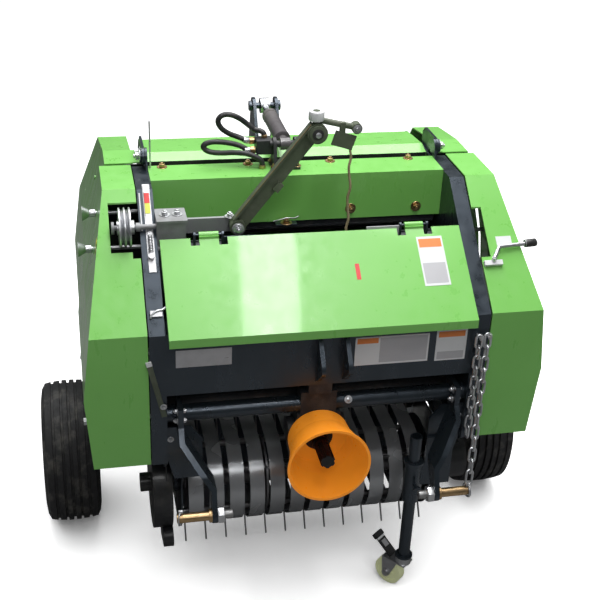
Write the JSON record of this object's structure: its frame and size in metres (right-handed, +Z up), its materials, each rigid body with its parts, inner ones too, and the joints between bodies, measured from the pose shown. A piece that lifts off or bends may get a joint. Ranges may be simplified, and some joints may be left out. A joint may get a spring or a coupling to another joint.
{
  "type": "mini round baler",
  "caption": "Linkage-hung mini round baler: banded pickup, ribbed-roller bale chamber, lifting tailgate with cylinder, twine arm, two ribbed tyres and a caster jack.",
  "frame": {"origin": "on the ground under the middle of the machine's outline", "axes": "+X to the right seen from the hitch side, +Y from the hitch towards the tailgate, +Z up"},
  "size_m": [1.3, 0.982, 1.2352],
  "materials": {
    "frame_paint": "satin",
    "green_paint": "gloss",
    "arm_paint": "satin",
    "cone_plastic": "matte",
    "cast": "rough",
    "band_steel": "satin",
    "bright_steel": "polished",
    "gold_zinc": "satin",
    "black_steel": "satin",
    "tyre_rubber": "matte",
    "hose_rubber": "matte",
    "rim_paint": "satin",
    "caster_plastic": "satin",
    "black_plastic": "satin",
    "twine_fibre": "matte"
  },
  "bodies": {
    "frame": {"side_frames": "frame_paint", "front_panel": "frame_paint", "twine_box": "frame_paint", "cross_beam": "green_paint", "side_covers": "green_paint", "cover_bolts": "bright_steel", "cross_tube": "frame_paint", "gearbox": "cast", "pto_cone": "cone_plastic", "link_brackets": "frame_paint", "link_pins": "gold_zinc", "check_chain": "bright_steel", "jack_socket": "frame_paint", "pickup_frame": "frame_paint", "stripper_bands": "band_steel", "drive_guards": "black_steel", "chamber_rollers": "frame_paint", "axle_arms": "frame_paint", "cylinder_bracket": "cast", "hydraulic_hoses": "hose_rubber", "twine_motor": "cast", "bale_gauge": "bright_steel", "crank_handle": "black_steel"},
    "lid": {"hood_lid": "green_paint"},
    "input_shaft": {"pto_shaft": "band_steel"},
    "reel": {"pickup_reel": "band_steel"},
    "wheel_left": {"tyre_left": "tyre_rubber", "rim_left": "rim_paint"},
    "wheel_right": {"tyre_right": "tyre_rubber", "rim_right": "rim_paint"},
    "leg": {"jack_leg": "frame_paint"},
    "caster": {"caster_fork": "bright_steel", "caster_brake": "black_plastic"},
    "caster_roller": {"caster_wheel": "caster_plastic"},
    "tailgate": {"tailgate_frame": "frame_paint", "tailgate_skin": "green_paint", "tailgate_covers": "green_paint", "tailgate_rollers": "frame_paint"},
    "barrel": {"cylinder_barrel": "black_steel"},
    "rod": {"cylinder_rod": "bright_steel"},
    "arm": {"twine_arm": "arm_paint", "twine": "twine_fibre"},
    "sheave": {"twine_sheave": "bright_steel"}
  },
  "joints": [
    {"name": "lid_hinge", "type": "hinge", "parent": "frame", "child": "lid", "pos_m": [0, -0.193, 0.962], "axis": [-1, 0, 0], "range_deg": [0, 100]},
    {"name": "input_spin", "type": "hinge", "parent": "frame", "child": "input_shaft", "pos_m": [0, -0.363, 0.5], "axis": [0, 1, 0], "continuous": true},
    {"name": "reel_spin", "type": "hinge", "parent": "frame", "child": "reel", "pos_m": [0, -0.174, 0.275], "axis": [1, 0, 0], "continuous": true},
    {"name": "wheel_left_spin", "type": "hinge", "parent": "frame", "child": "wheel_left", "pos_m": [-0.5775, 0.112, 0.191], "axis": [1, 0, 0], "continuous": true},
    {"name": "wheel_right_spin", "type": "hinge", "parent": "frame", "child": "wheel_right", "pos_m": [0.5775, 0.112, 0.191], "axis": [1, 0, 0], "continuous": true},
    {"name": "jack_slide", "type": "slide", "parent": "frame", "child": "leg", "axis": [0, 0, 1], "range_m": [-0.06, 0.08]},
    {"name": "caster_swivel", "type": "hinge", "parent": "leg", "child": "caster", "pos_m": [0.245, -0.355, 0.095], "axis": [0, 0, 1], "continuous": true},
    {"name": "caster_spin", "type": "hinge", "parent": "caster", "child": "caster_roller", "pos_m": [0.22122, -0.32666, 0.038], "axis": [0.766, 0.6428, 0], "continuous": true},
    {"name": "tailgate_lift", "type": "hinge", "parent": "frame", "child": "tailgate", "pos_m": [0, 0.052, 1.061], "axis": [1, 0, 0], "range_deg": [0, 75]},
    {"name": "barrel_pivot", "type": "hinge", "parent": "frame", "child": "barrel", "pos_m": [-0.028, 0.022, 1.092], "axis": [1, 0, 0], "range_deg": [0, 72.3]},
    {"name": "rod_stroke", "type": "slide", "parent": "barrel", "child": "rod", "axis": [0, 0.9999, 0.0107], "range_m": [-0.0514, 0]},
    {"name": "arm_swing", "type": "hinge", "parent": "frame", "child": "arm", "pos_m": [-0.17, -0.16, 0.965], "axis": [0, 1, 0], "range_deg": [-70, 25]},
    {"name": "sheave_spin", "type": "hinge", "parent": "frame", "child": "sheave", "pos_m": [-0.426, -0.175, 0.98], "axis": [1, 0, 0], "continuous": true}
  ],
  "couplings": [
    {"joint": "barrel_pivot", "follows": "tailgate_lift", "ratio": 0.963},
    {"joint": "rod_stroke", "follows": "tailgate_lift", "m_per_rad": -0.03922}
  ]
}
